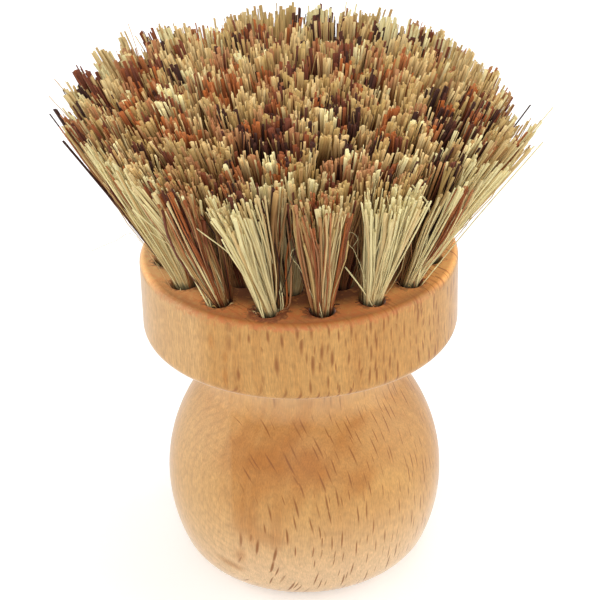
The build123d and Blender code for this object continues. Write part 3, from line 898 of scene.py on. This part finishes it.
LAMP_TARGET = Vector((0, 0, 50 * MM))
LEFT_LAMP_SHARE = 0.975       # of the right lamp's power
SENSOR_WIDTH = 36
FLOOR_REACH = 3.0
FLOOR_GLOW = {"From Min": 0.1, "From Max": 0.6, "To Min": 0.28, "To Max": 0.62}     # over the distance in metres


def seen_plainly(node):
    """1 for what the camera sees, itself or in a gloss or through glass, and 0 for the light on the object."""
    rays = node("LightPath").node.outputs
    seen = node("Math", {0: rays["Is Camera Ray"], 1: rays["Is Glossy Ray"]}, operation="ADD")
    return node("Math", {0: seen, 1: rays["Is Transmission Ray"]}, operation="ADD", use_clamp=True)


def paper_floor(scene, settings):
    """A floor of matt paper, which looks brighter than it shines on the object."""
    material, node = new_material("matt_paper_floor")
    far = node("VectorMath", {0: node("TexCoord", output="Object")}, operation="LENGTH")
    sweep = node("MapRange", {"Value": far, **FLOOR_GLOW})
    glow = node("Math", {0: seen_plainly(node), 1: sweep}, operation="MULTIPLY")
    matt = node("BsdfDiffuse", {"Color": settings.floor})
    light = node("Emission", {"Strength": glow})
    node("OutputMaterial", {"Surface": node("AddShader", {0: matt, 1: light})})
    mesh = bpy.data.meshes.new("floor")
    corners = [(x * FLOOR_REACH, y * FLOOR_REACH, 0) for x, y in ((-1, -1), (1, -1), (1, 1), (-1, 1))]
    mesh.from_pydata(corners, [], [(0, 1, 2, 3)])
    mesh.materials.append(material)
    floor = bpy.data.objects.new("floor", mesh)
    scene.collection.objects.link(floor)


def daylight(scene, settings):
    """Even light from all round, with a white sky behind it."""
    world = bpy.data.worlds.new("daylight")
    world.use_nodes = True
    world.node_tree.nodes.clear()
    node = functools.partial(add_node, world.node_tree)
    strength = node("MapRange", {"Value": seen_plainly(node), "To Min": settings.daylight})
    node("OutputWorld", {"Surface": node("Background", {"Color": (1, 1, 1, 1), "Strength": strength})})
    scene.world = world


class PALMBRUSH_OT_stage(bpy.types.Operator):
    """Set up the pale floor, the soft lamps and the camera"""

    bl_idname = "palm_brush.stage"
    bl_label = "Stage"

    def execute(self, context):
        settings = context.scene.palm_brush_stage
        scene = context.scene
        scene.view_settings.view_transform = "Standard"
        paper_floor(scene, settings)
        daylight(scene, settings)
        for name, place, size, power in (
            ("right_lamp", (0.62, 0.0, 0.26), 0.6, settings.side_lamps),
            ("left_lamp", (-0.62, 0.05, 0.26), 0.6, settings.side_lamps * LEFT_LAMP_SHARE),
            ("top_lamp", (0.06, 0.10, 0.72), 0.5, settings.top_lamp),
            ("front_lamp", (0.0, -0.55, 0.30), 0.3, settings.front_lamp),
            ("low_right_lamp", (0.30, -0.42, 0.05), 0.2, settings.low_lamps),
            ("low_left_lamp", (-0.30, -0.42, 0.05), 0.2, settings.low_lamps),
        ):
            lamp = bpy.data.lights.new(name, "AREA")
            lamp.shape = "DISK"
            lamp.size = size
            lamp.energy = power
            stand = bpy.data.objects.new(name, lamp)
            stand.location = place
            stand.rotation_euler = (LAMP_TARGET - stand.location).to_track_quat("-Z", "Y").to_euler()
            scene.collection.objects.link(stand)

        lens = bpy.data.cameras.new("camera")
        lens.lens = settings.focal_length
        lens.sensor_width = SENSOR_WIDTH
        lens.clip_start = 0.01
        camera = bpy.data.objects.new("camera", lens)
        camera.location = (0, -settings.camera_distance, settings.camera_height)
        camera.rotation_euler = (Matrix.Rotation(math.pi / 2 - settings.pitch, 3, "X")
                                 @ Matrix.Rotation(settings.roll, 3, "Z")).to_euler()
        scene.collection.objects.link(camera)
        scene.camera = camera
        return {"FINISHED"}


class PALMBRUSH_PT_panel(bpy.types.Panel):
    """Palm brush pieces and their settings"""

    bl_idname = "PALMBRUSH_PT_panel"
    bl_label = "Palm brush"
    bl_space_type = "VIEW_3D"
    bl_region_type = "UI"
    bl_category = "Palm brush"

    def draw(self, context):
        for operator, group in STEPS:
            box = self.layout.box()
            box.operator(operator.bl_idname)
            settings = getattr(context.scene, group)
            for name in settings.__annotations__:
                box.prop(settings, name)


STEPS = [
    (PALMBRUSH_OT_stage, "palm_brush_stage"),
    (PALMBRUSH_OT_handle, "palm_brush_wood"),
    (PALMBRUSH_OT_staples, "palm_brush_wire"),
    (PALMBRUSH_OT_tufts, "palm_brush_fibre"),
]
GROUPS = {
    "palm_brush_stage": StageSettings,
    "palm_brush_wood": WoodSettings,
    "palm_brush_wire": WireSettings,
    "palm_brush_fibre": FibreSettings,
}


def register():
    for kind in [*GROUPS.values(), *(operator for operator, _ in STEPS), PALMBRUSH_PT_panel]:
        bpy.utils.register_class(kind)
    for name, kind in GROUPS.items():
        setattr(bpy.types.Scene, name, bpy.props.PointerProperty(type=kind))


def unregister():
    for name in GROUPS:
        delattr(bpy.types.Scene, name)
    for kind in [PALMBRUSH_PT_panel, *(operator for operator, _ in STEPS), *GROUPS.values()]:
        bpy.utils.unregister_class(kind)


def main():
    register()
    bpy.ops.palm_brush.stage()
    bpy.ops.palm_brush.handle()
    bpy.ops.palm_brush.staples()
    bpy.ops.palm_brush.tufts()


if __name__ == "__main__":
    main()
